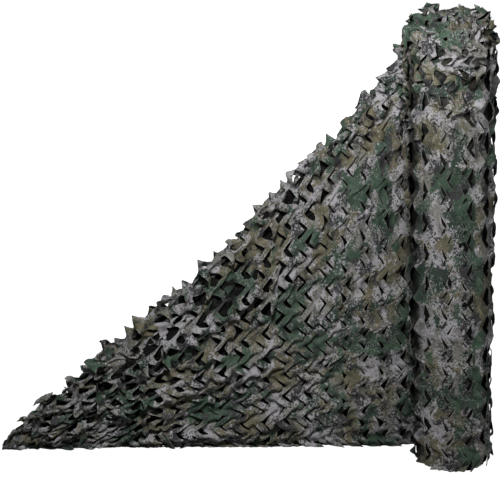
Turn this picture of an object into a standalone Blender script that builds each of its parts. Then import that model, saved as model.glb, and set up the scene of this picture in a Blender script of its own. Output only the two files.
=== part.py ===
"""Cut camouflage netting: a bulk roll stood on its end, with its free end drawn off to one side.

Metres, +Z up. The origin is on the floor under the middle of the roll. The loose end leaves the back
of the roll, runs towards -X and is gathered to a point on the floor. The netting is one length of cloth
with staggered chevron cuts: beside the roll they stay nearly shut, and where it is drawn out they open.
"""

import math

import bmesh
import bpy
import numpy as np

# The cloth and its cuts
NET_WIDTH = 1.500  # the netting's width, which is the standing roll's height
CLOTH = 0.0025  # thickness of the cloth with its crimped leaves
SEAT_GAP = 0.0005  # between the loose end's inner edge and the ledge of the roll that it continues
CUT_ROWS = 10  # rows of chevrons up the width
CUT_ALONG = 0.105  # distance between like columns of chevrons, along the length
ZIGZAG = 0.024  # how far a ribbon swings to each side of its own middle line
STEPS_PER_CUT = 4  # mesh rows in one chevron row, and mesh columns in one pair of chevron columns

# The roll
FOOT_RADIUS = 0.1225
HEAD_RADIUS = 0.1285
LEAN_X = -0.050  # how far the roll's top stands over towards the loose end
TURN_STEP = 0.006  # how much one turn of netting adds to the radius
OUT_OF_ROUND = 0.022  # share of the radius
TWIST = 1.5  # radians by which the oval turns in a metre of height
ROLL_COLUMNS = 8  # pairs of chevron columns round the roll
LEAF_LIFT = 0.0085  # how far the leaf beside a cut stands out from the roll
POCKET = 0.0055  # and how deep the cut's other lip lies
DRAWN_IN = 0.16  # share of a mesh column by which a cut's two lips are drawn together
FOOT_EDGE = 0.036  # height over which the foot is rounded in
FOOT_INSET = 0.008
SHOULDER = 0.050  # height over which the top rounds over
SHOULDER_INSET = 0.013
HEAD_UNEVEN = 0.010
RIM_LEAF_OUT = 0.009  # the leaf tips that stand out and up round the head
RIM_LEAF_UP = 0.014
RING_UNEVEN = 0.7  # share of that unevenness inside the rim
# The head's rings, from the rim inwards: share of the radius, height over the netting's width
HEAD_RINGS = (
    dict(share=0.90, rise=0.000),
    dict(share=0.66, rise=0.010),
    dict(share=0.36, rise=0.006),
)

# The loose end
LEAVE_SLOPE = 0.48  # it leaves the roll this much towards the front for each metre along
LINE_Y = 0.062  # where it then runs, straight to the tip
BEND_LENGTH = 0.14  # over which it swings into that line
TIP_X = -1.456
GATHER_X = -1.290  # from here on the whole width is bunched together
FAN = 0.90  # how far the columns of cuts turn square to the rows, which all run to the tip
FAN_FULL = 0.50  # share of the length by which they have turned
SEAT_REACH = 0.25  # share of the length over which it lets go of the roll's lean
SWING_POWER = 1.4
SETTLE_COLUMNS = 6  # mesh columns beside the roll over which the zigzag sets in
BELLY = 0.014
BELLY_FULL = 0.4
CUT_SHUT = 0.006  # width of a cut beside the roll
CUT_OPEN = 0.032  # and where the netting is drawn out
OPENS_FROM = 0.08  # the shares of the length between which the cuts open
OPENS_TO = 0.58
TONGUE_LIFT = 0.006  # how far the lips of an open cut part to the front and the back
SPIKES = (0.000, 0.019, 0.004, 0.011)  # height of the leaf tips along the top edge, column by column
HEM_SNAP = 0.0014  # corners of the hem lower than this lie on the floor
WANDER = 0.0022  # how far a mesh point strays from its rule

# The top edge of the loose end, from the tip to the roll
TOP_EDGE = (
    dict(x=-1.460, z=0.030),
    dict(x=-1.340, z=0.130),
    dict(x=-1.220, z=0.238),
    dict(x=-1.000, z=0.452),
    dict(x=-0.770, z=0.688),
    dict(x=-0.530, z=0.950),
    dict(x=-0.310, z=1.192),
    dict(x=-0.190, z=1.358),
    dict(x=-0.100, z=1.460),
    dict(x=0.050, z=1.480),
)
# The folds that run out from the tip: height as a share of the width, half width, swing (+ is to the front)
FOLDS = (
    dict(up=0.11, half=0.055, swing=0.70),
    dict(up=0.25, half=0.070, swing=-0.80),
    dict(up=0.41, half=0.060, swing=1.00),
    dict(up=0.57, half=0.075, swing=-0.75),
    dict(up=0.72, half=0.055, swing=0.90),
    dict(up=0.87, half=0.060, swing=-0.55),
)
FOLD_DEPTH = 0.028
FOLDS_FROM = 0.06  # the shares of the length between which the folds grow
FOLDS_TO = 0.56
FOLDS_SINK = 0.70  # from here on they sink into the gather
FOLDS_LEFT = 0.15  # share of their depth that is left there
# The bunched tip, from where the sheet enters it: place, height and depth of each section
GATHER = (
    dict(x=-1.250, height=0.150, depth=0.008),
    dict(x=-1.278, height=0.172, depth=0.024),
    dict(x=-1.306, height=0.156, depth=0.034),
    dict(x=-1.334, height=0.132, depth=0.040),
    dict(x=-1.362, height=0.106, depth=0.044),
    dict(x=-1.390, height=0.082, depth=0.043),
    dict(x=-1.416, height=0.060, depth=0.040),
    dict(x=-1.440, height=0.050, depth=0.036),
    dict(x=-1.458, height=0.034, depth=0.022),
)
PLEATS = 11
PLEAT_DEPTH = 0.15
CRUMPLE = 0.11  # how unevenly the pleats stand out, as a share of the section
CRUMPLE_ALONG = 0.006  # and how far their points stray along the gather

ROLL_SEED = 11
SHEET_SEED = 23
GATHER_SEED = 37
NET_COLOUR = (0.075, 0.088, 0.066, 1.0)
NET_ROUGHNESS = 0.82


def smooth(share):
    share = min(max(share, 0.0), 1.0)
    return share * share * (3.0 - 2.0 * share)


def between(value, start, end):
    """0 before start, 1 past end, and a smooth rise between them."""
    return smooth((value - start) / (end - start))


def triangle_wave(turns):
    """1 at whole turns and -1 half way between them."""
    part = turns % 1.0
    return 1.0 - 4.0 * min(part, 1.0 - part)


def through(rows, key, value, at):
    """Reads a table's column at a place, on a cubic through its rows."""
    xs = [row[key] for row in rows]
    ys = [row[value] for row in rows]
    if at <= xs[0]:
        return ys[0]
    if at >= xs[-1]:
        return ys[-1]
    left = max(i for i, x in enumerate(xs[:-1]) if x <= at)

    def slope(i):
        low, high = max(i - 1, 0), min(i + 1, len(xs) - 1)
        return (ys[high] - ys[low]) / (xs[high] - xs[low])

    span = xs[left + 1] - xs[left]
    u = (at - xs[left]) / span
    return (
        (2 * u**3 - 3 * u**2 + 1) * ys[left]
        + (u**3 - 2 * u**2 + u) * span * slope(left)
        + (3 * u**2 - 2 * u**3) * ys[left + 1]
        + (u**3 - u**2) * span * slope(left + 1)
    )


def clear_scene():
    for obj in list(bpy.data.objects):
        bpy.data.objects.remove(obj, do_unlink=True)


def new_collection(name):
    collection = bpy.data.collections.new(name)
    bpy.context.scene.collection.children.link(collection)
    return collection


def net_material():
    material = bpy.data.materials.new("net_cloth")
    material.use_nodes = True
    shader = material.node_tree.nodes["Principled BSDF"]
    shader.inputs["Base Color"].default_value = NET_COLOUR
    shader.inputs["Roughness"].default_value = NET_ROUGHNESS
    shader.inputs["Metallic"].default_value = 0.0
    return material


def new_object(name, form, collection, material):
    mesh = bpy.data.meshes.new(name)
    bmesh.ops.recalc_face_normals(form, faces=form.faces[:])
    form.to_mesh(mesh)
    form.free()
    mesh.materials.append(material)
    obj = bpy.data.objects.new(name, mesh)
    collection.objects.link(obj)
    return obj


# ---------------------------------------------------------------- the roll


def roll_axis_x(z):
    return LEAN_X * z / NET_WIDTH


def outer_turn_radius(z):
    return FOOT_RADIUS + (HEAD_RADIUS - FOOT_RADIUS) * z / NET_WIDTH


def leave_angle():
    """Where on the roll the loose end leaves it, square to its direction there."""
    return math.atan2(1.0, -LEAVE_SLOPE)


def is_cut(column, row):
    """Chevrons point one way in the first narrow column of a pair, and the other way in the second."""
    along, up = column % STEPS_PER_CUT, row % STEPS_PER_CUT
    return (along == 0 and up in (3, 0)) or (along == 2 and up in (1, 2))


def tongue(column, row):
    """1 where a cut's lip lifts, -1 where its other lip sinks, and 0 between the cuts."""
    along, up = column % STEPS_PER_CUT, row % STEPS_PER_CUT
    if up == 0 and along < 2:
        return 1 if along == 0 else -1
    if up == 2 and along >= 2:
        return 1 if along == 3 else -1
    return 0


def roll_point(turn, z, out, swing):
    """A point of the outer turn: turn runs 0 to 1, clockwise from above, from the ledge and back to it."""
    z = min(max(z, 0.0), NET_WIDTH)
    away = math.sin(math.pi * turn) ** 2  # 0 at the ledge, where the loose end joins
    radius = outer_turn_radius(z) - TURN_STEP * turn
    radius *= 1.0 + OUT_OF_ROUND * away * math.cos(2 * math.tau * turn + TWIST * z)
    radius -= FOOT_INSET * (1.0 - between(z, 0.0, FOOT_EDGE))
    radius -= SHOULDER_INSET * between(z, NET_WIDTH - SHOULDER, NET_WIDTH) ** 2
    radius += out * away
    turn += swing * away / (math.tau * radius)
    angle = leave_angle() - math.tau * turn
    return (
        roll_axis_x(z) + radius * math.cos(angle),
        radius * math.sin(angle),
        z,
    )


def build_roll(collection, material):
    """One solid of the wound form, with the outer turn's cuts as pockets and its uneven head."""
    dice = np.random.default_rng(ROLL_SEED)
    columns = ROLL_COLUMNS * STEPS_PER_CUT
    rows = CUT_ROWS * STEPS_PER_CUT
    form = bmesh.new()
    rings = []
    for row in range(rows + 1):
        swing = ZIGZAG * triangle_wave(row / STEPS_PER_CUT)
        ring = []
        for column in range(columns + 1):
            ledge = column in (0, columns)
            odd = column % 2
            turn = (column + (0.0 if ledge else DRAWN_IN * (1 if odd else -1))) / columns
            lip = tongue(column, row)
            out = (LEAF_LIFT if lip > 0 else POCKET) * lip + dice.normal(0.0, WANDER)
            if row == 0:
                out = 0.0
            if row == rows:
                out = RIM_LEAF_OUT * odd
            x, y, z = roll_point(turn, NET_WIDTH * row / rows, out, swing)
            if row == rows:
                stray = dice.uniform(-HEAD_UNEVEN, HEAD_UNEVEN)
                z += (RIM_LEAF_UP * odd + stray) * math.sin(math.pi * turn)
            ring.append(form.verts.new((x, y, z)))
        rings.append(ring)
    rim = rings[rows]
    middle = roll_axis_x(NET_WIDTH)
    for inner in HEAD_RINGS:
        ring = []
        for vert in rim:
            x = middle + inner["share"] * (vert.co.x - middle)
            y = inner["share"] * vert.co.y
            stray = RING_UNEVEN * dice.uniform(-HEAD_UNEVEN, HEAD_UNEVEN)
            ring.append(form.verts.new((x, y, NET_WIDTH + inner["rise"] + stray)))
        rings.append(ring)
    for low, high in zip(rings, rings[1:]):
        for column in range(columns + 1):
            beyond = (column + 1) % (columns + 1)
            form.faces.new((low[column], low[beyond], high[beyond], high[column]))
    form.faces.new(rings[0])
    form.faces.new(rings[-1])
    bmesh.ops.triangulate(form, faces=form.faces[:])
    return new_object("net_roll", form, collection, material)


# ---------------------------------------------------------------- the loose end


def fold_swing(along, up):
    grown = between(along, FOLDS_FROM, FOLDS_TO)
    sunk = (1.0 - FOLDS_LEFT) * between(along, FOLDS_SINK, 1.0)
    swing = sum(
        fold["swing"] * math.exp(-(((up - fold["up"]) / fold["half"]) ** 2)) for fold in FOLDS
    )
    return FOLD_DEPTH * grown * (1.0 - sunk) * swing


def cloth_point(along, up, spike=0.0):
    """A point of the sheet's middle surface: along 0 to 1 from roll to gather, up 0 to 1 from hem to top."""
    seat = leave_angle()
    foot_x = FOOT_RADIUS * math.cos(seat)
    base_x = foot_x + along * (GATHER_X - foot_x)
    to_tip = base_x - TIP_X
    turned = FAN * smooth(along / FAN_FULL)
    angle = up * math.atan2(through(TOP_EDGE, "x", "z", base_x), to_tip)
    x = TIP_X + to_tip * (1.0 - turned * (1.0 - math.cos(angle)))
    z = up * through(TOP_EDGE, "x", "z", x) + spike
    on_roll = smooth(1.0 - along / SEAT_REACH)
    radius = outer_turn_radius(z) - CLOTH / 2
    seat_x = on_roll * roll_axis_x(z) + radius * math.cos(seat)
    x += on_roll * (seat_x - foot_x)
    swung = max(1.0 - max(seat_x - x, 0.0) / BEND_LENGTH, 0.0) ** SWING_POWER
    y = LINE_Y + (radius * math.sin(seat) - LINE_Y) * swung
    y -= BELLY * smooth(along / BELLY_FULL) * math.sin(math.pi * up)
    return x - SEAT_GAP, y - fold_swing(along, up), z


def cut_width(along):
    """The chevrons open away from the roll."""
    return CUT_SHUT + (CUT_OPEN - CUT_SHUT) * between(along, OPENS_FROM, OPENS_TO)


def build_loose_end(collection, material):
    """The sheet, its cuts opened as holes, and thickened to one solid."""
    dice = np.random.default_rng(SHEET_SEED)
    length = FOOT_RADIUS * math.cos(leave_angle()) - GATHER_X
    pairs = round(length / CUT_ALONG)
    columns = pairs * STEPS_PER_CUT
    rows = CUT_ROWS * STEPS_PER_CUT
    form = bmesh.new()
    grid = []
    for column in range(columns + 1):
        edge = column in (0, columns)
        along = column / columns
        settled = smooth(column / SETTLE_COLUMNS) * smooth((columns - column) / STEPS_PER_CUT)
        if not edge:
            half = 0.5 * cut_width(along) / length
            middle = (2 * (column // 2) + 0.5) / columns
            along = middle + (half if column % 2 else -half)
        line = []
        for row in range(rows + 1):
            up = row / rows
            rim = row in (0, rows)
            spike = SPIKES[column % STEPS_PER_CUT] if row == rows and not edge else 0.0
            shift = settled * ZIGZAG * triangle_wave(up * CUT_ROWS) / length
            x, y, z = cloth_point(along + shift, up, spike * smooth(3.0 * along))
            if not rim:
                x += settled * dice.normal(0.0, WANDER)
                y += settled * (dice.normal(0.0, WANDER) - TONGUE_LIFT * tongue(column, row))
            line.append(form.verts.new((x, y, z)))
        grid.append(line)
    for column in range(columns):
        for row in range(rows):
            clear_of_ends = 1 < column < columns - STEPS_PER_CUT and 0 < row < rows - 1
            if clear_of_ends and is_cut(column, row):
                continue
            left, right = grid[column], grid[column + 1]
            form.faces.new((left[row], right[row], right[row + 1], left[row + 1]))
    loose_end = new_object("net_loose_end", form, collection, material)
    thicken = loose_end.modifiers.new("cloth_thickness", "SOLIDIFY")
    thicken.thickness = CLOTH
    thicken.offset = 0.0
    return loose_end


def build_gather(collection, material):
    """The bunched end of the sheet: pleated sections from a thin start to the blunt tip."""
    dice = np.random.default_rng(GATHER_SEED)
    form = bmesh.new()
    points = 2 * PLEATS
    rings = []
    for section in GATHER:
        blunt = section is GATHER[-1]
        ring = []
        for point in range(points):
            angle = math.tau * point / points
            x = section["x"] + (0.0 if blunt else dice.uniform(-CRUMPLE_ALONG, CRUMPLE_ALONG))
            bulge = 1.0 + PLEAT_DEPTH * (1.0 if point % 2 else -1.0)
            bulge += dice.uniform(-CRUMPLE, CRUMPLE)
            y = LINE_Y - 0.5 * section["depth"] * bulge * math.cos(angle)
            z = section["height"] * (0.5 + 0.5 * bulge * math.sin(angle))
            ring.append(form.verts.new((x, y, max(z, 0.0))))
        rings.append(ring)
    for near, far in zip(rings, rings[1:]):
        for point in range(points):
            beyond = (point + 1) % points
            form.faces.new((near[point], near[beyond], far[beyond], far[point]))
    form.faces.new(rings[0])
    form.faces.new(rings[-1])
    bmesh.ops.triangulate(form, faces=form.faces[:])
    gather = new_object("gather", form, collection, material)
    gather.hide_render = True
    gather.display_type = "WIRE"
    return gather


def join(obj, other):
    union = obj.modifiers.new("gathered_tip", "BOOLEAN")
    union.operation = "UNION"
    union.solver = "EXACT"
    union.object = other


def lay_hem_flat(obj):
    """Applies the modifiers, then sets the hem's lower corners exactly on the floor."""
    finished = bpy.data.meshes.new_from_object(obj.evaluated_get(bpy.context.evaluated_depsgraph_get()))
    for vert in finished.vertices:
        if vert.co.z < HEM_SNAP:
            vert.co.z = 0.0
    obj.modifiers.clear()
    obj.data = finished


def main():
    clear_scene()
    netting = new_collection("camouflage_netting")
    helpers = new_collection("joined_forms")
    material = net_material()
    build_roll(netting, material)
    loose_end = build_loose_end(netting, material)
    join(loose_end, build_gather(helpers, material))
    lay_hem_flat(loose_end)


main()
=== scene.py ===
"""The look of the camouflage netting: plies of cut netting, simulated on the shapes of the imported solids.

The netting is a flat grid of narrow ribbons. Neighbouring ribbons are parted by zigzag lines, and a chevron
cut follows each line round every second bend. Distance constraints hold the cloth at its flat size while it
is drawn to the form of the roll and of the loose end, so the cuts open and the leaves lift by themselves.
"""

import math
from types import SimpleNamespace

import bpy
import numpy as np
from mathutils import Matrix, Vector

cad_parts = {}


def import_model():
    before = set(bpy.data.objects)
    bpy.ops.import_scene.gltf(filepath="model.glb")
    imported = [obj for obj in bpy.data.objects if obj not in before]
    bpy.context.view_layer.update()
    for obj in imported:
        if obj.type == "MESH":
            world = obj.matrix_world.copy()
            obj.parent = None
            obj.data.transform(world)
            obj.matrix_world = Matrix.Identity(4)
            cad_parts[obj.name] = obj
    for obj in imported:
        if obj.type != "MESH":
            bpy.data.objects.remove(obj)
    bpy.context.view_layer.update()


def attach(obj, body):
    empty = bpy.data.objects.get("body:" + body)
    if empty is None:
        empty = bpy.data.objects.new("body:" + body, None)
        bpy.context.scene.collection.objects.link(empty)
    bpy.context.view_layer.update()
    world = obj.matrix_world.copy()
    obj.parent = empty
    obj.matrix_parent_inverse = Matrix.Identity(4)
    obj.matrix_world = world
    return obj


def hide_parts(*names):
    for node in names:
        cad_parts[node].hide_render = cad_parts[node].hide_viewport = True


# ---------------------------------------------------------------- the flat netting, in metres

RIBBON = 0.030  # a ribbon's width
ZIGZAG = 0.0175  # how far a line swings to each side
REPEAT = 0.099  # one zigzag up the netting
CELLS = 6  # mesh columns in a ribbon
BEND_ROWS = 14  # mesh rows in one zigzag
CUT_REACH = 5  # mesh rows from a cut's bend to its end
ROWS = 215  # mesh rows in the netting's width
LOOSE_RIBBONS = 42  # from the tip to the ledge, the upright line where the netting leaves the roll
TURN_RIBBONS = 26  # in the roll's outermost turn
TUCKED_RIBBONS = 4  # of the front ply, past the ledge
COLUMN = RIBBON / CELLS
ROW = REPEAT / BEND_ROWS
FLAT_WIDTH = ROWS * ROW
RIBBONS = LOOSE_RIBBONS + TURN_RIBBONS
LOOSE_LENGTH = LOOSE_RIBBONS * RIBBON
TURN_LENGTH = TURN_RIBBONS * RIBBON

# ---------------------------------------------------------------- the shapes of the two solids

ROLL_HEIGHT = 1.500
CLOTH = 0.0025
FOOT_RADIUS = 0.1225
HEAD_RADIUS = 0.1285
LEAN_X = -0.050
TURN_STEP = 0.006
OUT_OF_ROUND = 0.022
TWIST = 1.5
FOOT_EDGE = 0.036
FOOT_INSET = 0.008
SHOULDER = 0.050
SHOULDER_INSET = 0.013
LEAVE_ANGLE = math.atan2(1.0, -0.48)
FOOT_X = FOOT_RADIUS * math.cos(LEAVE_ANGLE)
LINE_Y = 0.062
BEND_LENGTH = 0.14
SWING_POWER = 1.4
SEAT_REACH = 0.35
TIP_X = -1.444
BELLY = 0.014
BELLY_GROWN = 0.4  # share of the way to the tip
# x, height
TOP_EDGE = np.array(
    [
        (-1.460, 0.030),
        (-1.340, 0.130),
        (-1.220, 0.238),
        (-1.000, 0.452),
        (-0.770, 0.688),
        (-0.530, 0.950),
        (-0.310, 1.192),
        (-0.190, 1.358),
        (-0.100, 1.460),
        (0.050, 1.480),
    ]
)
# up, half width, swing
FOLDS = np.array(
    [
        (0.11, 0.055, 0.70),
        (0.25, 0.070, -0.80),
        (0.41, 0.060, 1.00),
        (0.57, 0.075, -0.75),
        (0.72, 0.055, 0.90),
        (0.87, 0.060, -0.55),
    ]
)
FOLD_DEPTH = 0.016
FOLDS_GROW = (0.06, 0.56)  # shares of the way to the tip over which the folds deepen
FOLDS_FADE = (0.70, 1.0)  # and over which they grow shallow again
FOLDS_FADED = 0.7

# ---------------------------------------------------------------- how the plies lie on them

PLIES = FRONT, BACK, MIDDLE = 0, 1, 2
PARITY = (0, 1, 0)  # of each ply's first line
SHIFTS = (-0.022, 0.022, 0.0)  # of each ply from the loose end's middle, towards +y
FLAP_SHIFTS = (-0.006, 0.008, 0.003)  # the same, for what is folded over the edge
HEM_SHIFTED = (0.35, 0.10)  # the share of a shift left at the hem, and the height from which it is whole
INSETS = (0.020, 0.0, 0.0015)  # of each ply from the roll's outer face
FLARES = (1.0, -0.5, 1.0)  # of each ply's foot, as a share of the solid's inset there
HEMS = (0.002, 0.014, 0.002)  # the height of each ply's lowest row on the roll
TOPS = (1.0, 1.0, 0.965)  # of each ply's highest row, as a share of the full height
TOP_FREED = 0.18  # share of the turn over which the top edge rises from the ledge's height to the roll's
SAG = 0.48  # how much the upper rows of the netting bunch up
EDGE_DROPS = (0.0, 0.006, 0.040)  # of each ply's fold below the top edge
EDGE_SWELLS = ((-0.46, 0.13, 0.018), (-1.42, 0.10, 0.016))  # where the edge stands higher: x, width, by
FOLD_OVER = 0.014  # half the netting's length round the fold
FLAP_END_X = -0.14  # where what is folded over meets the roll
FLAP_FALL = 0.8  # how far what is folded over hangs down, for each metre that it can't go sideways
LEAST_ROOM = 0.012
LEAST_HEIGHT = 0.004
# share of the way to the tip, and the netting's height there as a share of its height on the roll
DRAWN_IN = np.array(
    [
        (0.0, 1.0),
        (0.16, 0.957),
        (0.30, 0.888),
        (0.40, 0.808),
        (0.50, 0.697),
        (0.58, 0.586),
        (0.65, 0.486),
        (0.74, 0.390),
        (0.87, 0.31),
        (1.0, 0.25),
    ]
)
PULLED_OUT = 1.13  # how far the open cuts lengthen the netting, away from the roll
PULLED_OVER = (0.10, 0.60)  # metres from the ledge over which they come to do so
PAST_TIP = 0.012
CLEAR_OF_ROLL = 6.0  # one part in six of the way to the tip is still shaped by the roll

# ---------------------------------------------------------------- how the cloth moves

STEPS = 240
HEAD_STEPS = 160
PUSH = 0.00035  # metres in a step
WEIGHT = 0.00008
START = 8.0  # how many pushes a point starts out by
GLIDE = 0.85  # the share of its speed that a point keeps
# the share of its error that each kind of pair mends in one step
NEXT_SHARE = 1.0
SLANT_SHARE = 0.6
TWO_COLUMNS_SHARE = 0.35
HALF_RIBBON_SHARE = 0.20
RIBBON_SHARE = 0.30
ROWS_SHARES = ((2, 0.40), (3, 0.25))
TAUT_SHARE = 0.5
SEAM_SHARE = 0.3
# how the lips of a cut are drawn back
CLOSED_ARM = 0.45  # on an arm that pulls shut, where 1 is one that pulls open
OPENED_SPREAD = 0.5  # how much one cut differs from the next
LEAST_OPENED, MOST_OPENED = 0.3, 2.0
INNER_COLUMN = 0.4  # how far the next column follows

MOST_LIFT = 0.014  # how far a leaf stands off the roll
CROWN_LIFT = 0.010  # how much farther it does near the head, and on the left side
FRONT_Y, BACK_Y = -0.146, 0.142  # nothing reaches past these
LEFT_X = -1.457
FLOOR_Z = 0.0015
TIP_HEIGHT, TIP_SLOPE = 0.028, 1.1  # the most height at the tip, and how much more for each metre from it
# how far from its aim each ply's points may be: in and out on the roll, and along y on the loose end
ROLL_ROOM_IN = (-0.002, 0.0005, -0.004)
ROLL_ROOM_OUT = 0.0005
ROOM_BEFORE = (-0.050, -0.013, -0.006)
ROOM_BEHIND = (0.013, 0.046, 0.006)
ROOM_FOLDED = 0.003
ROOM_AT_HEM = (0.1, 0.14)  # the share of the room before it at the hem, and the height from which it is whole


def smooth(share):
    share = np.clip(share, 0.0, 1.0)
    return share * share * (3.0 - 2.0 * share)


def between(value, start, end):
    return smooth((value - start) / (end - start))


def bell(value, middle, width):
    return np.exp(-(((value - middle) / width) ** 2))


def by_ply(values):
    """One value for each ply, to go with points[ply, ribbon, column, row]."""
    return np.array(values)[:, None, None, None]


def through(table, at):
    """A cubic through the table's rows, read at many places."""
    xs, ys = table[:, 0], table[:, 1]
    slopes = np.gradient(ys, xs)
    slopes[1:-1] = (ys[2:] - ys[:-2]) / (xs[2:] - xs[:-2])
    at = np.clip(at, xs[0], xs[-1])
    left = np.clip(np.searchsorted(xs, at, side="right") - 1, 0, len(xs) - 2)
    span = xs[left + 1] - xs[left]
    u = (at - xs[left]) / span
    return (
        (2 * u**3 - 3 * u**2 + 1) * ys[left]
        + (u**3 - 2 * u**2 + u) * span * slopes[left]
        + (3 * u**2 - 2 * u**3) * ys[left + 1]
        + (u**3 - u**2) * span * slopes[left + 1]
    )


def triangle_wave(turns):
    part = np.mod(turns, 1.0)
    return 1.0 - 4.0 * np.minimum(part, 1.0 - part)


def soft_noise(dice, length, height, size):
    """Smooth random values about 0, with bumps of the given size."""
    x = (length + 2 * ZIGZAG) / size
    y = height / size
    table = dice.normal(0.0, 1.0, (int(x.max()) + 2, int(y.max()) + 2))
    left, low = x.astype(int), y.astype(int)
    part_x, part_y = smooth(x - left), smooth(y - low)
    below = table[left, low] * (1 - part_x) + table[left + 1, low] * part_x
    above = table[left, low + 1] * (1 - part_x) + table[left + 1, low + 1] * part_x
    return below * (1 - part_y) + above * part_y


# ---------------------------------------------------------------- the two forms

JOINED_TOP = through(TOP_EDGE, np.array([FOOT_X]))[0]  # the loose end's height at the ledge


def roll_axis_x(z):
    return LEAN_X * z / ROLL_HEIGHT


def turn_radius(z):
    return FOOT_RADIUS + (HEAD_RADIUS - FOOT_RADIUS) * z / ROLL_HEIGHT


def sagged(up):
    """The share of the height that a row comes to, when the upper rows sag and bunch up."""
    return up + SAG * up**4 * (1 - up)


def roll_form(distance, up, ply):
    """Points on the roll's outermost turn: distance is the flat length past the ledge."""
    turn = distance / TURN_LENGTH
    freed = between(turn, 0.0, TOP_FREED)
    top = JOINED_TOP + (ROLL_HEIGHT - JOINED_TOP) * freed
    hem = HEMS[ply] * freed
    z = hem + (TOPS[ply] * top - hem) * np.clip(sagged(up), 0.0, 1.0)
    away = np.sin(math.pi * np.clip(turn, 0, 1)) ** 2
    radius = turn_radius(z) - TURN_STEP * turn
    radius = radius * (1.0 + OUT_OF_ROUND * away * np.cos(2 * math.tau * turn + TWIST * z))
    radius = radius - FLARES[ply] * FOOT_INSET * (1.0 - between(z, 0.0, FOOT_EDGE))
    radius = radius - SHOULDER_INSET * between(z, ROLL_HEIGHT - SHOULDER, ROLL_HEIGHT) ** 2
    radius = radius - INSETS[ply]
    angle = LEAVE_ANGLE - math.tau * turn
    return np.stack([roll_axis_x(z) + radius * np.cos(angle), radius * np.sin(angle), z], -1)


def loose_rows(distance, up, ply):
    """Of each point of the loose end: the foot under it, its share of the way to the tip, the height of the
    fold over the edge there, and how much netting has gone past that fold."""
    total = FOOT_X - TIP_X + PAST_TIP
    steps = np.linspace(0.0, LOOSE_LENGTH, 200)
    rate = 1.0 + (PULLED_OUT - 1.0) * between(steps, *PULLED_OVER)
    reach = np.concatenate([[0.0], np.cumsum(0.5 * (rate[1:] + rate[:-1]) * np.diff(steps))])
    base_x = FOOT_X - np.interp(distance, steps, reach * total / reach[-1])
    along = (FOOT_X - base_x) / total
    clear = smooth(CLEAR_OF_ROLL * along)
    fold = through(TOP_EDGE, base_x) - EDGE_DROPS[ply] * clear
    for middle, width, by in EDGE_SWELLS:
        fold = fold + by * bell(base_x, middle, width)
    height = JOINED_TOP * TOPS[ply] ** (1 - clear) * sagged(up) * through(DRAWN_IN, along)
    return base_x, along, fold, height - fold


def loose_form(distance, up, ply):
    """Points on the loose end: distance is the flat length from the ledge towards the tip."""
    base_x, along, fold, past = loose_rows(distance, up, ply)
    # level rows run up to the diagonal edge, go over it, and lie behind with the rows upright
    turn = np.clip((past + FOLD_OVER) / (2 * FOLD_OVER), 0.0, 1.0)
    over = np.maximum(past - FOLD_OVER, 0.0)
    room = np.maximum(FLAP_END_X - base_x, LEAST_ROOM)
    sideways = room * np.tanh(over / room)
    z = fold + np.minimum(past, -FOLD_OVER) + 2 * FOLD_OVER / math.pi * np.sin(math.pi * turn)
    z = np.maximum(z - FLAP_FALL * (over - sideways), LEAST_HEIGHT)
    base_x = base_x + sideways
    on_roll = smooth(1.0 - along / SEAT_REACH)
    radius = turn_radius(z) - CLOTH / 2
    seat_x = on_roll * roll_axis_x(z) + radius * math.cos(LEAVE_ANGLE)
    x = base_x + on_roll * (seat_x - FOOT_X)
    swung = np.maximum(1.0 - np.maximum(seat_x - x, 0.0) / BEND_LENGTH, 0.0) ** SWING_POWER
    y = LINE_Y + (radius * math.sin(LEAVE_ANGLE) - LINE_Y) * swung
    reached = (FOOT_X - base_x) / (FOOT_X - TIP_X)
    share = z / np.maximum(through(TOP_EDGE, base_x), z)
    y = y - BELLY * smooth(reached / BELLY_GROWN) * np.sin(math.pi * share)
    grown = between(reached, *FOLDS_GROW) * (1.0 - FOLDS_FADED * between(reached, *FOLDS_FADE))
    swing = sum(by * bell(share, middle, half_width) for middle, half_width, by in FOLDS)
    y = y - FOLD_DEPTH * grown * swing
    behind = 0.5 - 0.5 * np.cos(math.pi * turn)
    at_hem, whole_at = HEM_SHIFTED
    apart = at_hem + (1 - at_hem) * between(z, 0.0, whole_at)
    y = y + apart * (SHIFTS[ply] + (FLAP_SHIFTS[ply] - SHIFTS[ply]) * behind)
    return np.stack([x, y, z], -1)


def net_form(length, up, ply):
    """Points on either form: length is measured on the flat netting, from the tip's end."""
    past = length - LOOSE_LENGTH
    loose = loose_form(np.maximum(-past, 0.0), up, ply)
    roll = roll_form(np.maximum(past, 0.0), up, ply)
    return np.where((past < 0)[..., None], loose, roll)


# ---------------------------------------------------------------- the grid of the flat netting


def flat_layout(first, count, rows):
    """Flat length and height of each mesh point: ribbon, column in it, row."""
    ribbon = np.arange(first, first + count)[:, None, None]
    column = np.arange(CELLS + 1)[None, :, None]
    row = np.arange(rows + 1)[None, None, :]
    length = ribbon * RIBBON + column * COLUMN + ZIGZAG * triangle_wave(row / BEND_ROWS)
    height = np.broadcast_to(row * ROW, length.shape)
    return length, height


def from_bend(line, row):
    """Mesh rows from the bend that the line is cut round: an even line's points to +, an odd line's to -."""
    middle = np.where(line % 2 == 0, 0, BEND_ROWS // 2)
    return np.abs(np.mod(row - middle + BEND_ROWS // 2, BEND_ROWS) - BEND_ROWS // 2)


def is_cut(line, row):
    return from_bend(line, row) < CUT_REACH


def joined_lines(parity, count, rows):
    """1 where ribbon i and i + 1 hang together."""
    line = parity + np.arange(1, count)[:, None]
    row = np.arange(rows + 1)[None, :]
    return (~is_cut(line, row)).astype(np.float32)


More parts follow.
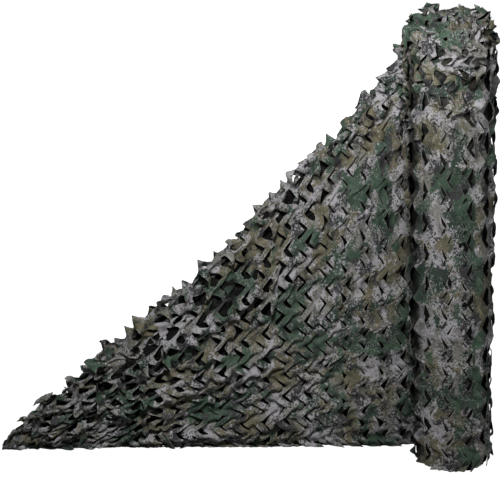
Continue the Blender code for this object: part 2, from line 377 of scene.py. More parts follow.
def tongues(parity, count, rows):
    """1 at the tip of each tongue, falling to 0 along its cut, and less than 0 on the lip across from it."""
    ribbon = parity + np.arange(count)[:, None]
    row = np.arange(rows + 1)[None, :]
    lift = np.zeros((count, CELLS + 1, rows + 1), np.float32)
    for side, line in ((0, ribbon), (CELLS, ribbon + 1)):
        tip = np.maximum(1.0 - from_bend(line, row) / CUT_REACH, 0.0)
        points_here = (line % 2 == 0) == (side == CELLS)
        lip = np.where(points_here, tip, -0.5 * tip)
        for inward, share in ((0, 1.0), (1, 0.7), (2, 0.35)):
            lift[:, abs(side - inward)] += share * lip
    return lift


def arms(rows):
    """1 halfway up each arm that leans to the tip, and -1 halfway up each one that leans to the roll."""
    return np.sin(math.tau * np.arange(rows + 1) / BEND_ROWS).astype(np.float32)


def slack_ribbons(parity, count):
    """1 for a ribbon whose joints face each other across its bends, so that it has cloth to spare, else 0."""
    return ((np.arange(count) + parity) % 2).astype(np.float32)[:, None, None]


def lower_edges(rows):
    """1 on the lower edge of each arm and -1 on its upper edge: the arms turn like slats."""
    across = np.arange(CELLS + 1)[:, None] / CELLS * 2 - 1
    return (-across * arms(rows)).astype(np.float32)


def unevenness(dice, count, rows, spread):
    """A random strength for each bend of each ribbon, the same along the bend's whole arm."""
    bends = rows // (BEND_ROWS // 2) + 2
    size = np.exp(dice.normal(0.0, spread, (count, 1, bends)))
    at = (np.arange(rows + 1) + BEND_ROWS // 4) // (BEND_ROWS // 2)
    return size[..., at]


# ---------------------------------------------------------------- the simulation


def hold(a, b, rest, share):
    """Moves the points of a and b towards being rest apart."""
    gap = b - a
    length = np.sqrt(np.einsum("...i,...i->...", gap, gap)) + 1e-9
    gap *= (0.5 * share * (1.0 - rest / length))[..., None]
    a += gap
    b -= gap


def weld_lips(points, weld):
    left, right = points[:, :-1, -1], points[:, 1:, 0]
    middle = 0.5 * (left + right)
    left += weld * (middle - left)
    right += weld * (middle - right)


def pairs_of(flat, taut):
    """What is held at its flat distance: (slices of a, slices of b, distance, share).

    taut lists the rows of a zigzag from which the arms are held straight, up to the next bend.
    """
    length, height = flat
    rows = length.shape[2]
    s = np.s_
    found = []

    def add(a, b, share):
        rest = np.hypot(length[a] - length[b], height[a] - height[b])
        found.append((a, b, rest.astype(np.float32), share))

    for c in (0, 1):
        add(s[:, c:CELLS:2, :], s[:, c + 1 : CELLS + 1 : 2, :], NEXT_SHARE)
    for r in (0, 1):
        last = (rows - r) // 2 * 2 + r
        add(s[:, :, r:last:2], s[:, :, r + 1 : last : 2], NEXT_SHARE)
    for c in (0, 1):
        add(s[:, c:CELLS:2, :-1], s[:, c + 1 : CELLS + 1 : 2, 1:], SLANT_SHARE)
        add(s[:, c:CELLS:2, 1:], s[:, c + 1 : CELLS + 1 : 2, :-1], SLANT_SHARE)
    for c in range(0, CELLS - 1, 2):
        end = min(c + 2, CELLS - 1)
        add(s[:, c:end, :], s[:, c + 2 : end + 2, :], TWO_COLUMNS_SHARE)
    add(s[:, 0, :], s[:, CELLS, :], RIBBON_SHARE)
    add(s[:, 0:2, :], s[:, 3:5, :], HALF_RIBBON_SHARE)
    add(s[:, 2, :], s[:, 5, :], HALF_RIBBON_SHARE)
    for reach, share in ROWS_SHARES:
        for r in range(2 * reach):
            add(s[:, :, r : rows - reach : 2 * reach], s[:, :, r + reach : rows : 2 * reach], share)
    for start in taut:
        arm = BEND_ROWS // 2
        end = start + (rows - 1 - start) // BEND_ROWS * BEND_ROWS
        add(s[:, :, start:end:BEND_ROWS], s[:, :, start + arm : end + arm : BEND_ROWS], TAUT_SHARE)
    return found


def relax(points, aims, joined, flat, steps, bound, push, pull, laid, taut):
    """Moves points[ply, ribbon, column, row, xyz] step by step to where the cloth comes to rest.

    Of the way to its aim, a joined point goes pull[ply, line, row] in a step, and every point goes laid.
    """
    pairs = pairs_of(flat, taut)
    weld = joined[..., None]
    pull = pull[..., None] * weld
    before = points.copy()
    for step in range(steps):
        drift = points - before
        before[...] = points
        points += GLIDE * drift
        # the push is whole for two thirds of the steps, and then falls to half
        points += push * min(1.0, 2.0 - 1.5 * step / steps)
        points += laid * (aims - points)
        points[:, 1:, 0] += pull * (aims[:, 1:, 0] - points[:, 1:, 0])
        points[:, :-1, -1] += pull * (aims[:, :-1, -1] - points[:, :-1, -1])
        for a, b, rest, share in pairs:
            hold(points[(slice(None), *a)], points[(slice(None), *b)], rest, share)
        weld_lips(points, weld)
        # across a joint, the cloth on both sides stays in line
        hold(points[:, :-1, -2], points[:, 1:, 1], 2 * COLUMN, SEAM_SHARE * joined)
        bound(points)
    weld_lips(points, weld)


def draw_back(points, first, parity, dice, seen_from_back, most):
    """Draws the lips of each cut a little apart, as cut cloth does: most on the arms that pull open."""
    count, _, rows = points.shape[:3]
    row = np.arange(rows)
    leaning = np.sin(math.tau * row / BEND_ROWS) * (-1 if seen_from_back else 1)
    open_arm = np.where(leaning > 0, 1.0, CLOSED_ARM)
    bends = rows // BEND_ROWS + 2
    width = np.exp(dice.normal(0.0, OPENED_SPREAD, (count + 1, bends)))
    width = np.clip(width, LEAST_OPENED, MOST_OPENED)
    line = parity + first + np.arange(count + 1)[:, None]
    middle = np.where(line % 2 == 0, 0, BEND_ROWS // 2)
    bend = (row[None, :] - middle + BEND_ROWS) // BEND_ROWS
    near = np.maximum(1.0 - (from_bend(line, row[None, :]) / CUT_REACH) ** 2, 0.0)
    share = near * open_arm * np.take_along_axis(width, np.clip(bend, 0, bends - 1), 1)
    for lip, inside, part in ((-1, -2, share[1:]), (0, 1, share[:-1])):
        step = (most[:, lip] * part)[..., None] * (points[:, inside] - points[:, lip])
        points[:, lip] += step
        points[:, inside] += INNER_COLUMN * step


# ---------------------------------------------------------------- the mesh


def new_mesh(name, points, first, ply, material, shade, closed=False, skip=1):
    """One mesh of a block of ribbons, points[ribbon, column, row]. Lips of a cut keep points of their own.

    Where skip is 2, only every second column and row of points is used.
    """
    count, _, rows = points.shape[:3]
    length, height = flat_layout(first, count, rows - 1)
    lines, row = PARITY[ply] + np.arange(first + 1, first + count)[:, None], np.arange(rows)[None, :]
    cut = is_cut(lines, row) & (not closed)
    if skip > 1:
        points, length, height, shade = (a[:, ::skip, ::skip] for a in (points, length, height, shade))
        cut = cut[:, ::skip]
        rows = points.shape[2]
    columns = points.shape[1]
    index = np.arange(count * columns * rows).reshape(count, columns, rows)
    index[1:, 0] = np.where(cut, index[1:, 0], index[:-1, -1])
    corners = [index[:, :-1, :-1], index[:, 1:, :-1], index[:, 1:, 1:], index[:, :-1, 1:]]
    quads = np.stack(corners, -1).reshape(-1, 4)
    used, where = np.unique(quads, return_inverse=True)
    quads = where.reshape(-1, 4)
    mesh = bpy.data.meshes.new(name)
    mesh.vertices.add(len(used))
    mesh.vertices.foreach_set("co", points.reshape(-1, 3)[used].astype(np.float32).ravel())
    mesh.loops.add(len(quads) * 4)
    mesh.loops.foreach_set("vertex_index", quads.astype(np.int32).ravel())
    mesh.polygons.add(len(quads))
    mesh.polygons.foreach_set("loop_start", np.arange(0, len(quads) * 4, 4, dtype=np.int32))
    mesh.update(calc_edges=True)
    mesh.validate()
    mesh.shade_smooth()
    add_bake_layout(mesh, length, height, rows)
    flat = np.stack([length, height, np.zeros_like(length)], -1).reshape(-1, 3)[used]
    attribute = mesh.attributes.new("flat", "FLOAT_VECTOR", "POINT")
    attribute.data.foreach_set("vector", (flat + np.array(PRINT_SHIFTS[ply])).astype(np.float32).ravel())
    ends = np.stack([quads, np.roll(quads, -1, 1)], -1).reshape(-1, 2)
    ends.sort(1)
    edges, times = np.unique(ends, axis=0, return_counts=True)
    rim = np.zeros(len(used), np.float32)
    rim[edges[times == 1].ravel()] = 1.0
    mesh.attributes.new("rim", "FLOAT", "POINT").data.foreach_set("value", rim)
    shades = shade.reshape(-1)[used].astype(np.float32)
    mesh.attributes.new("shade", "FLOAT", "POINT").data.foreach_set("value", shades)
    mesh.materials.append(material)
    obj = bpy.data.objects.new(name, mesh)
    bpy.context.scene.collection.objects.link(obj)
    return obj


def add_bake_layout(mesh, length, height, rows):
    """Lays the ribbons side by side in the unit square, in as many bands as fill it best."""
    count = length.shape[0]
    across, up = count * RIBBON, (rows - 1) * ROW
    bands = max(1, round(math.sqrt(across / up)))
    each = math.ceil(count / bands)
    size = max(each * RIBBON + 2 * ZIGZAG, bands * (height.max() + ZIGZAG)) * 1.01
    ribbon = np.arange(count)[:, None, None]
    u = length - length.min() - ribbon // each * each * RIBBON
    v = height + ribbon // each * (height.max() + ZIGZAG)
    uv = np.stack(np.broadcast_arrays(u, v), -1) / size
    corners = [uv[:, :-1, :-1], uv[:, 1:, :-1], uv[:, 1:, 1:], uv[:, :-1, 1:]]
    layer = mesh.uv_layers.new(name="OFBake")
    layer.data.foreach_set("uv", np.stack(corners, -2).astype(np.float32).ravel())


# ---------------------------------------------------------------- the cloth's finish


def srgb(red, green, blue):
    def linear(c):
        c /= 255.0
        return c / 12.92 if c <= 0.04045 else ((c + 0.055) / 1.055) ** 2.4

    return (linear(red), linear(green), linear(blue), 1.0)


PRINT_SHIFTS = ((0.0, 0.0, 0.0), (0.61, 0.17, 0.3), (0.23, 0.44, 0.6))  # of each ply, over the print
GREY_PALE = srgb(140, 138, 141)
GREY = srgb(107, 106, 101)
OLIVE = srgb(90, 86, 69)
GREEN = srgb(56, 73, 60)
GREEN_DEEP = srgb(42, 56, 47)
CHARCOAL = srgb(50, 49, 51)
CUT_EDGE = srgb(150, 148, 140)
BLACK = (0.0, 0.0, 0.0, 1.0)
# over the pale grey: colour, how fine its noise is, the noise's place, how rare it is, how ragged
PATCHES = (
    (GREY, 12.0, 3.1, 0.50, 0.18),
    (OLIVE, 7.5, 9.4, 0.52, 0.20),
    (GREEN, 5.6, 21.7, 0.54, 0.09),
    (GREEN_DEEP, 10.0, 23.3, 0.58, 0.16),
    (CHARCOAL, 12.0, 29.3, 0.585, 0.22),
)
PATCH_EDGE = 0.012
SPECK = 0.0034  # the side of one square of the print
STRETCHED = 1.5  # how much longer a patch is than it is wide
# the noise from which loose squares start and are whole, then the same for the squares' own random values
BUSY, DARK_SQUARES, LIGHT_SQUARES = (0.42, 0.62), (0.87, 0.88), (0.86, 0.87)
LIGHT_SHARE = 0.6
RIM_SHARE = 0.35  # how pale a cut edge is
SMOOTHEST, ROUGHER = 0.60, 0.24  # the least roughness, and how much a noise of 1 adds
THREAD = 0.0014  # one warp thread and the gap beside it
THREAD_DEPTH = 0.00005
CREASE_DEPTH = 0.0045


def net_material():
    material = bpy.data.materials.new("net_cloth")
    material.use_nodes = True
    tree = material.node_tree
    shader = tree.nodes["Principled BSDF"]
    shader.inputs["Specular IOR Level"].default_value = 0.2

    def node(kind, **settings):
        made = tree.nodes.new(kind)
        for name, value in settings.items():
            setattr(made, name, value)
        return made

    def feed(socket, value):
        if isinstance(value, bpy.types.NodeSocket):
            tree.links.new(value, socket)
        else:
            socket.default_value = value

    def attribute(name, output):
        return node("ShaderNodeAttribute", attribute_name=name).outputs[output]

    def vector_maths(operation, a, b):
        made = node("ShaderNodeVectorMath", operation=operation)
        feed(made.inputs[0], a)
        feed(made.inputs[1], b)
        return made.outputs[0]

    def maths(operation, a, b=0.0):
        made = node("ShaderNodeMath", operation=operation)
        feed(made.inputs[0], a)
        feed(made.inputs[1], b)
        return made.outputs[0]

    def noise(place, scale, detail, shift):
        made = node("ShaderNodeTexNoise")
        feed(made.inputs["Vector"], vector_maths("ADD", place, (shift, 0.7 * shift, 1.3 * shift)))
        feed(made.inputs["Scale"], scale)
        feed(made.inputs["Detail"], detail)
        feed(made.inputs["Roughness"], 0.55)
        return made.outputs["Fac"]

    def dots(place, side, shift):
        """A random value for each square of the print."""
        moved = vector_maths("ADD", place, (shift, shift, shift))
        snapped = vector_maths("SNAP", moved, (side, side, 10.0))
        made = node("ShaderNodeTexWhiteNoise", noise_dimensions="3D")
        feed(made.inputs["Vector"], snapped)
        return made.outputs["Value"]

    def step(value, low, high):
        made = node("ShaderNodeMapRange")
        feed(made.inputs["Value"], value)
        feed(made.inputs["From Min"], low)
        feed(made.inputs["From Max"], high)
        return made.outputs["Result"]

    def mix(share, a, b):
        made = node("ShaderNodeMix", data_type="RGBA")
        feed(made.inputs["Factor"], share)
        feed(made.inputs["A"], a)
        feed(made.inputs["B"], b)
        return made.outputs["Result"]

    def bump(height, depth, under=None):
        made = node("ShaderNodeBump")
        feed(made.inputs["Height"], height)
        feed(made.inputs["Distance"], depth)
        if under is not None:
            feed(made.inputs["Normal"], under)
        return made.outputs["Normal"]

    # the print: patches with squares along their edges, and loose squares where it is busy
    metres = attribute("flat", "Vector")
    narrowed = vector_maths("MULTIPLY", metres, (STRETCHED, 1.0, 1.0))
    squares = vector_maths("SNAP", narrowed, (SPECK * STRETCHED, SPECK, 10.0))
    fine = dots(metres, SPECK, 5.0)
    coarse = dots(metres, 2 * SPECK, 9.0)
    grain = maths("ADD", maths("MULTIPLY", fine, 0.5), maths("MULTIPLY", coarse, 0.5))
    colour = GREY_PALE
    for over, scale, shift, rarity, ragged in PATCHES:
        value = maths("ADD", noise(squares, scale, 3.0, shift), maths("MULTIPLY", grain, ragged))
        limit = rarity + 0.5 * ragged
        colour = mix(step(value, limit, limit + PATCH_EDGE), colour, over)
    busy = step(noise(metres, 14.0, 2.0, 47.0), *BUSY)
    dark = maths("MULTIPLY", step(fine, *DARK_SQUARES), busy)
    colour = mix(dark, colour, CHARCOAL)
    light = maths("MULTIPLY", step(dots(metres, SPECK, 13.0), *LIGHT_SQUARES), busy)
    colour = mix(maths("MULTIPLY", light, LIGHT_SHARE), colour, GREY_PALE)
    # the cut edges are paler, and painted shade from the shade attribute darkens what lies deep towards black
    rim = maths("POWER", attribute("rim", "Fac"), 4.0)
    colour = mix(maths("MULTIPLY", rim, RIM_SHARE), colour, CUT_EDGE)
    colour = mix(attribute("shade", "Fac"), colour, BLACK)
    feed(shader.inputs["Base Color"], colour)
    # plain weave on small creases, worn smoother in places
    axes = node("ShaderNodeSeparateXYZ")
    feed(axes.inputs[0], metres)
    threads = [maths("SINE", maths("MULTIPLY", axes.outputs[k], math.tau / THREAD)) for k in (0, 1)]
    creases = bump(noise(metres, 48.0, 3.0, 61.0), CREASE_DEPTH)
    feed(shader.inputs["Normal"], bump(maths("MULTIPLY", *threads), THREAD_DEPTH, creases))
    rougher = maths("MULTIPLY", noise(metres, 30.0, 2.0, 83.0), ROUGHER)
    feed(shader.inputs["Roughness"], maths("ADD", rougher, SMOOTHEST))
    return material


def plain_material(name, colour, roughness):
    material = bpy.data.materials.new(name)
    material.use_nodes = True
    shader = material.node_tree.nodes["Principled BSDF"]
    shader.inputs["Base Color"].default_value = colour
    shader.inputs["Roughness"].default_value = roughness
    return material


# ---------------------------------------------------------------- stage

CAMERA_AIM = (-0.652, 0.03, 0.76)
CAMERA_PITCH = 25.0
CAMERA_DISTANCE = 8.5
PIXELS_PER_METRE = 320.0
PHOTO_WIDTH = 500
# place, aim, size, power
LIGHTS = {
    "key": ((-0.75, -1.70, 2.75), (-0.30, 0.0, 0.70), 0.40, 95.0),
    "fill": ((1.2, -3.5, 1.6), (-0.4, 0.0, 0.7), 1.2, 9.0),
    "side": ((3.0, -0.7, 1.5), (0.0, 0.0, 0.7), 1.0, 16.0),
    "back": ((-0.4, 3.4, 1.0), (-0.5, 0.0, 0.6), 1.6, 130.0),
}
SKY = 0.030
GROUND_SIZE = 30.0
GROUND_Z = -0.001
GROUND_COLOUR = (0.15, 0.15, 0.15, 1.0)  # what it reflects: the camera sees it white
WHITE = (1.0, 1.0, 1.0, 1.0)
SENSOR_WIDTH = 36.0


def build_stage():
    bpy.ops.mesh.primitive_plane_add(size=GROUND_SIZE, location=(0.0, 0.0, GROUND_Z))
    floor = bpy.context.active_object
    floor.name = "floor"
    white = plain_material("floor_white", GROUND_COLOUR, 0.9)
    tree = white.node_tree
    path = tree.nodes.new("ShaderNodeLightPath")
    shader = tree.nodes["Principled BSDF"]
    tree.links.new(path.outputs["Is Camera Ray"], shader.inputs["Emission Strength"])
    shader.inputs["Emission Color"].default_value = WHITE
    floor.data.materials.append(white)
    world = bpy.data.worlds.new("studio")
    bpy.context.scene.world = world
    world.use_nodes = True
    sky = world.node_tree.nodes["Background"]
    sky.inputs["Color"].default_value = WHITE
    sky.inputs["Strength"].default_value = SKY
    bpy.context.scene.view_settings.view_transform = "Standard"
    for name, (place, aim, size, power) in LIGHTS.items():
        light = bpy.data.lights.new(name, "AREA")
        light.size = size
        light.energy = power
        lamp = bpy.data.objects.new(name, light)
        lamp.location = place
        lamp.rotation_euler = (Vector(aim) - Vector(place)).to_track_quat("-Z", "Y").to_euler()
        lamp.visible_camera = False
        bpy.context.scene.collection.objects.link(lamp)


def build_camera():
    data = bpy.data.cameras.new("camera")
    data.sensor_width = SENSOR_WIDTH
    data.lens = PIXELS_PER_METRE * CAMERA_DISTANCE / PHOTO_WIDTH * data.sensor_width
    camera = bpy.data.objects.new("camera", data)
    tilt = math.radians(CAMERA_PITCH)
    camera.location = (
        CAMERA_AIM[0],
        CAMERA_AIM[1] - CAMERA_DISTANCE * math.cos(tilt),
        CAMERA_AIM[2] + CAMERA_DISTANCE * math.sin(tilt),
    )
    camera.rotation_euler = (math.radians(90.0) - tilt, 0.0, 0.0)
    bpy.context.scene.collection.objects.link(camera)
    bpy.context.scene.camera = camera


# ---------------------------------------------------------------- the zones of the netting

# each is (where it starts, where it is whole), or (its middle, its width) where it fades to both sides
FREE = (0.18, 0.42)  # shares of the way to the tip: here the leaves lift freely
FREE_PAST_LEDGE = (0.0, 0.05)  # the same, for what is near the diagonal edge
FREE_BELOW_EDGE = (-0.24, -0.12)  # metres past the fold over the edge, so here they are before it
STRAINED = (0.40, 0.60)  # shares of the way to the tip: here the arms turn less
OUTWARDS = (0.5, 0.8)  # the same: here more of the slack arms come out
GATHERED = (0.86, 0.97)  # the same: here nothing is pushed
BUNCHED = (0.7, 0.95)  # shares of the height, on the loose end
CROWN = (0.58, 0.88)  # the same, on the roll
ABOVE_CROWN = (0.92, 0.99)
ABOVE_HEM = (0.02, 0.08)
RIGHT_SIDE = (0.32, 0.07)  # shares of the turn, from the ledge: what shows at the right of the roll
LEFT_SIDE = (0.785, 0.05)  # and at its left
PAST_LEDGE = (0.0, 0.1)  # shares of the turn
SEAM = (0.0, 0.045)  # metres from the ledge
EDGE = (0.0, 0.035)  # metres past the fold over the edge
# INSIDE: where what is folded over gets painted shade, in metres past the fold over the edge like EDGE
INSIDE = (0.03, 0.07)  # the same: here it is dark

# how far the netting hangs from an even form, in metres, and how large the bumps are
ROAMS, CROWN_ROAMS, BUNCHED_ROAMS, SEAM_ROAMS, LEFT_ROAMS = 0.003, 0.018, 0.008, 0.008, 0.010
ROAM_SIZE = 0.085
PUFF, SIDE_PUFF, PUFF_SIZE = 0.0022, 0.0035, 0.045
JITTER, JITTER_SIZE = 0.002, 0.022
# how much one bend differs from the next
LEAF_SPREAD, SLAT_SPREAD, BULGE_SPREAD = 0.8, 0.5, 0.4
CHANCE_SIZE, OUTWARDS_SIZE = 0.05, 0.06
OUTWARDS_RARITY, OUTWARDS_GROWTH = 0.9, 1.4  # the noise's limit at the roll, and how far it falls by the tip
# how hard the leaves lift, the arms turn and the slack arms bulge, where 1 is PUSH
FREE_LIFT, FREE_TURN, STRAINED_LESS, TIGHT_BULGE = 0.4, 2.4, 0.9, 0.5
SLACK_OUT, SLACK_IN = 1.2, -1.6
FLAT_LIFT = 0.50
SEAM_LIFT, SEAM_TURN = 0.8, 1.5
EDGE_TURN = 0.8
ROLL_LIFT, CROWN_MORE, CROWN_TURN = 0.8, 0.3, 1.8
SIDE_LIFT, SIDE_TURN = 2.0, 3.0
FOLDED_LESS = 0.9  # the share of it all that what is folded over goes without
CROWN_DOWN = 0.7  # how far down the pushes near the roll's head point
EDGE_OUT = 1.2  # how far up and to the tip those at the diagonal edge point
# of the way to its aim, a joined point goes so far in a step
ROLL_PULL, RUFFLED_LESS = 0.10, 0.07
FREE_PULL, FLAT_MORE = 0.05, 0.20
LAID = 0.006  # and every point where the loose end lies flat
RIGHT_PRESSED = 0.35  # how much less the leaves may lift at the right of the roll
# how far the lips of a cut are drawn back, of the way to the next column
LOOSE_OPENED, FREE_LESS, ROLL_OPENED = 0.18, 0.04, 0.13

# painted shade: the share of the light that a point misses, painted into its colour
DARK_INSIDE = (0.95, 0.95, 0.0)
DARK_MIDDLE, DARK_ROLL, HEAD_LIT = 0.995, 0.98, 0.18
NEAR_HEAD = (1.0, 1.3)  # the heights over which the middle ply grows lighter
DARK_CREASE = 0.88
CREASE = (0.010, 0.026)  # metres from the roll's left side: middle, width
CREASE_TOP = ROLL_HEIGHT - 0.08
CREASE_FRONT = (-0.10, -0.05)  # along y, where it starts and where it is whole
# before this y, a leaf that stands out so far from the roll misses so much less
CREASE_LIT_TO, STANDS_OUT, CREASE_LIT = 0.05, (0.003, 0.014), 0.7
DARK_TIP = 0.7
TIP_ENDS = (LEFT_X + 0.015, LEFT_X + 0.045)  # along x


def bound_roll(turns, low, high):
    """Keeps points between two radii of the roll: turns[ply, ribbon, column, row]."""
    centre = roll_axis_x(np.clip(turns[..., 2], 0.0, ROLL_HEIGHT))
    dx, dy = turns[..., 0] - centre, turns[..., 1]
    radius = np.hypot(dx, dy) + 1e-9
    scale = np.clip(radius, low, high) / radius
    turns[..., 0] = centre + dx * scale
    turns[..., 1] = dy * scale


def net_bounds(aims, folded, lift):
    """The room each ply has: the front one stays before the middle one, and the back one behind it."""
    roll = aims[:, LOOSE_RIBBONS:]
    base = np.hypot(roll[..., 0] - roll_axis_x(roll[..., 2]), roll[..., 1])
    low = base + by_ply(ROLL_ROOM_IN)
    high = base + ROLL_ROOM_OUT
    high[BACK] = base[BACK] + lift[LOOSE_RIBBONS:]
    reach = aims[:, :LOOSE_RIBBONS, ..., 1]
    folded = folded[:, :LOOSE_RIBBONS]
    at_hem, whole_at = ROOM_AT_HEM
    grown = at_hem + (1 - at_hem) * between(aims[:, :LOOSE_RIBBONS, ..., 2], 0.0, whole_at)
    nearest = reach + by_ply(ROOM_BEFORE) * grown * (1 - folded) - ROOM_FOLDED * folded
    farthest = reach + by_ply(ROOM_BEHIND) * (1 - folded) + ROOM_FOLDED * folded
    nearest, farthest = np.maximum(nearest, FRONT_Y), np.minimum(farthest, BACK_Y)

    def bound(points):
        np.maximum(points[..., 2], FLOOR_Z, out=points[..., 2])
        np.maximum(points[..., 0], LEFT_X, out=points[..., 0])
        bound_roll(points[:, LOOSE_RIBBONS:], low, high)
        loose = points[:, :LOOSE_RIBBONS]
        np.clip(loose[..., 1], nearest, farthest, out=loose[..., 1])
        np.clip(points[..., 1], FRONT_Y, BACK_Y, out=points[..., 1])
        ceiling = TIP_HEIGHT + TIP_SLOPE * np.maximum(loose[..., 0] - LEFT_X, 0.0)
        np.minimum(loose[..., 2], ceiling, out=loose[..., 2])

    return bound


def shades_of(points, folded):
    """The share of the light that each point misses.

    Painted shade: what is folded over lies inside, the crease beside the roll is deep, the middle ply lies in
    the shade between the others, and the tip is gathered.
    """
    z = np.clip(points[..., 2], 0.0, ROLL_HEIGHT)
    from_axis = points[..., 0] - roll_axis_x(z)
    stands_out = np.hypot(from_axis, points[..., 1]) - turn_radius(z)
    # painted shade in the crease beside the roll's left side, less on leaves that stand out in front
    crease = DARK_CREASE * bell(from_axis + turn_radius(z), *CREASE)
    crease = crease * (points[..., 2] < CREASE_TOP) * between(points[..., 1], *CREASE_FRONT)
    lit = CREASE_LIT * between(stands_out, *STANDS_OUT)
    crease = crease * (1 - lit * (points[..., 1] < CREASE_LIT_TO))
    crease[BACK, :LOOSE_RIBBONS] = 0.0
    # painted shade on what is folded over the edge
    inside = by_ply(DARK_INSIDE) * folded
    # painted shade: the middle ply is painted near black, as the shade between the plies, and lighter near
    # the roll's head
    own = np.zeros_like(inside)
    own[MIDDLE, :LOOSE_RIBBONS] = DARK_MIDDLE
    near_head = between(points[MIDDLE, LOOSE_RIBBONS:, ..., 2], *NEAR_HEAD)
    own[MIDDLE, LOOSE_RIBBONS:] = DARK_ROLL - HEAD_LIT * near_head
    # painted shade at the tip, where the netting gathers
    tip = DARK_TIP * (1 - between(points[..., 0], *TIP_ENDS))
    return np.maximum(np.maximum(inside, own), np.maximum(crease, tip))


# ---------------------------------------------------------------- the netting


def zones_of(length, up):
    """How far each point of the flat netting is in each zone, and where it is along the netting."""
    to_tip = (LOOSE_LENGTH - length) / LOOSE_LENGTH
    turn = (length - LOOSE_LENGTH) / TURN_LENGTH
    on_roll = to_tip < 0
    past = np.stack([loose_rows(np.maximum(LOOSE_LENGTH - length, 0.0), up, ply)[3] for ply in PLIES])
    by_edge = between(past[FRONT], *FREE_BELOW_EDGE) * between(to_tip, *FREE_PAST_LEDGE)
    crowned = between(up, *CROWN) * on_roll
    left_side = bell(turn, *LEFT_SIDE) * between(up, *ABOVE_HEM)
    return SimpleNamespace(
        to_tip=to_tip,
        turn=turn,
        on_roll=on_roll,
        past=past,
        free=np.maximum(between(to_tip, *FREE), by_edge) * ~on_roll,
        crowned=crowned,
        right_side=bell(turn, *RIGHT_SIDE),
        left_side=left_side,
        ruffled=np.maximum(crowned * (1 - between(up, *ABOVE_CROWN)), left_side),
        seam=bell(to_tip * LOOSE_LENGTH, *SEAM),
        folded=between(past, -FOLD_OVER, 2 * FOLD_OVER) * ~on_roll,
        edge=bell(past, *EDGE) * ~on_roll,
    )


def aims_of(zones, length, height, dice):
    """Where each point would lie if nothing lifted, and the way out from the roll's axis."""
    up = height / FLAT_WIDTH
    roaming = ROAMS + CROWN_ROAMS * zones.crowned + BUNCHED_ROAMS * zones.free * between(up, *BUNCHED)
    roaming = roaming + SEAM_ROAMS * zones.seam
    roaming = roaming + LEFT_ROAMS * zones.left_side
    sideways = roaming * soft_noise(dice, length, height, ROAM_SIZE)
    upwards = roaming * soft_noise(dice, length, height, ROAM_SIZE)
    # the hem and the top edge stay level
    inner = smooth(10 * up) * smooth(10 * (1 - up))
    forms = [net_form(length + sideways, up + inner * upwards / FLAT_WIDTH, ply) for ply in PLIES]
    aims = np.stack(forms).astype(np.float32)
    spoke = aims[:, LOOSE_RIBBONS:].copy()
    spoke[..., 0] -= roll_axis_x(spoke[..., 2])
    spoke[..., 2] = 0.0
    spoke /= np.linalg.norm(spoke, axis=-1, keepdims=True)
    puffed = PUFF + SIDE_PUFF * (zones.right_side + zones.left_side)
    puffed = puffed * soft_noise(dice, length, height, PUFF_SIZE) * between(zones.turn, *PAST_LEDGE)
    aims[:, LOOSE_RIBBONS:] += puffed[LOOSE_RIBBONS:, ..., None] * spoke
    return aims, spoke


def outward_of(zones, aims, spoke):
    """The way each point is pushed: out from the roll's axis, or off the loose end, or up at its edge."""
    outward = np.zeros_like(aims)
    outward[:, LOOSE_RIBBONS:] = spoke
    outward[FRONT, :LOOSE_RIBBONS, ..., 1] = -1.0
    outward[BACK, :LOOSE_RIBBONS, ..., 1] = 1.0
    outward[BACK, ..., 2] -= CROWN_DOWN * zones.crowned
    outward[..., 0] -= EDGE_OUT * zones.edge
    outward[..., 2] += EDGE_OUT * zones.edge
    return outward


def pushes_of(ply, zones, length, height, dice):
    """How hard each point of a ply is pushed, on the roll and on the loose end.

    The leaves lift at the tips of their tongues, the arms turn like slats, and slack arms bulge or sink.
    """
    lifts = tongues(PARITY[ply], RIBBONS, ROWS) * unevenness(dice, RIBBONS, ROWS, LEAF_SPREAD)
    slats = lower_edges(ROWS) * unevenness(dice, RIBBONS, ROWS, SLAT_SPREAD)
    chance = soft_noise(dice, length, height, CHANCE_SIZE)
    slack = slack_ribbons(PARITY[ply], RIBBONS)
    bulge = np.abs(arms(ROWS)) * unevenness(dice, RIBBONS, ROWS, BULGE_SPREAD)
    limit = OUTWARDS_RARITY - OUTWARDS_GROWTH * between(zones.to_tip, *OUTWARDS)
    outwards = soft_noise(dice, length, height, OUTWARDS_SIZE) > limit
    sunk = slack * bulge * np.where(outwards, SLACK_OUT, SLACK_IN)
    less = STRAINED_LESS * between(zones.to_tip, *STRAINED) * (1 + between(zones.past[ply], *FREE_BELOW_EDGE))
    leafy = FREE_LIFT * lifts + (FREE_TURN - less) * slats + sunk + TIGHT_BULGE * (1 - slack) * bulge
    loose = FLAT_LIFT * (1 - zones.free) * lifts + zones.free * leafy
    loose = loose + zones.seam * (SEAM_LIFT * lifts + SEAM_TURN * slats * chance)
    at_edge = zones.edge[ply] * (lifts + EDGE_TURN * slats * chance)
    loose = loose * (1 - FOLDED_LESS * zones.folded[ply]) + at_edge
    loose = loose * (1 - between(zones.to_tip, *GATHERED))
    roll = lifts * (ROLL_LIFT + CROWN_MORE * zones.crowned) + CROWN_TURN * zones.crowned * slats * chance
    roll = roll + (zones.seam + zones.left_side) * (SIDE_LIFT * lifts + SIDE_TURN * slats * chance)
    return np.where(zones.on_roll, roll, loose)


